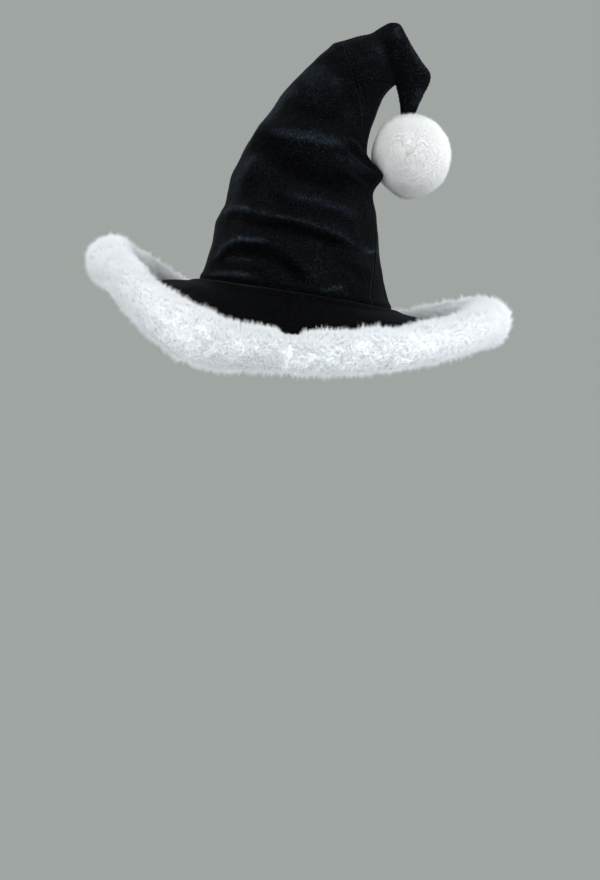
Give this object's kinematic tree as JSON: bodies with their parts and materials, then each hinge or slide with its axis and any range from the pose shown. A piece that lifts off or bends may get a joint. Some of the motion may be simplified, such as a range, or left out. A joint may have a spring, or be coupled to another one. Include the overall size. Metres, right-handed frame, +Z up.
{
  "type": "party hat",
  "caption": "Tall soft black velvet cone hat that folds over near the top, with a drooping brim, a thick white faux-fur edge and a white fur pompom hanging from its tip.",
  "frame": {"origin": "centre of the head opening, on the plane where the crown meets the brim", "axes": "+Z up through the crown, +X to the side the tip falls to, -Y to the front"},
  "size_m": [0.4291, 0.3879, 0.3836],
  "materials": {
    "velvet": "black velvet pile, soft sheen at grazing angles",
    "interlining": "non-woven",
    "lining": "black satin",
    "sweatband": "ribbed grosgrain ribbon",
    "dark_thread": "twisted thread",
    "stiffener": "stiff buckram",
    "wire": "drawn steel",
    "knit": "knitted backing",
    "fur": "white faux fur",
    "pompom_fur": "white faux fur",
    "white_thread": "twisted thread",
    "cord": "twisted cotton cord",
    "stuffing": "fibre fill"
  },
  "bodies": {
    "hat": {"sweatband": "sweatband", "sweatband_stitches": "dark_thread", "crown_front_velvet": "velvet", "crown_back_velvet": "velvet", "crown_front_interlining": "interlining", "crown_back_interlining": "interlining", "crown_front_lining": "lining", "crown_back_lining": "lining", "crown_seam_stitches": "dark_thread", "brim_top_velvet": "velvet", "brim_stiffener": "stiffener", "brim_underside_velvet": "velvet", "brim_edge_wire": "wire", "fur_trim_backing": "knit", "fur_trim_pile": "fur", "trim_stitches": "white_thread"},
    "tip": {"tip_front_velvet": "velvet", "tip_back_velvet": "velvet", "tip_end_closure": "velvet", "tip_seam_stitches": "dark_thread"},
    "pompom_link": {"pompom_knot": "cord"},
    "pompom": {"pompom_tie": "cord", "pompom_stuffing": "stuffing", "pompom_knit": "knit", "pompom_fur": "pompom_fur"}
  },
  "joints": [
    {"name": "tip_flop", "type": "hinge", "parent": "hat", "child": "tip", "pos_m": [0.05124, 0, 0.28613], "axis": [0, -1, 0], "range_deg": [0, 45]},
    {"name": "pompom_swing_out", "type": "hinge", "parent": "tip", "child": "pompom_link", "pos_m": [0.07818, 0, 0.19603], "axis": [0, -1, 0], "range_deg": [0, 35]},
    {"name": "pompom_swing_fore_aft", "type": "hinge", "parent": "pompom_link", "child": "pompom", "pos_m": [0.07818, 0, 0.19603], "axis": [1, 0, 0], "range_deg": [-30, 30]}
  ]
}
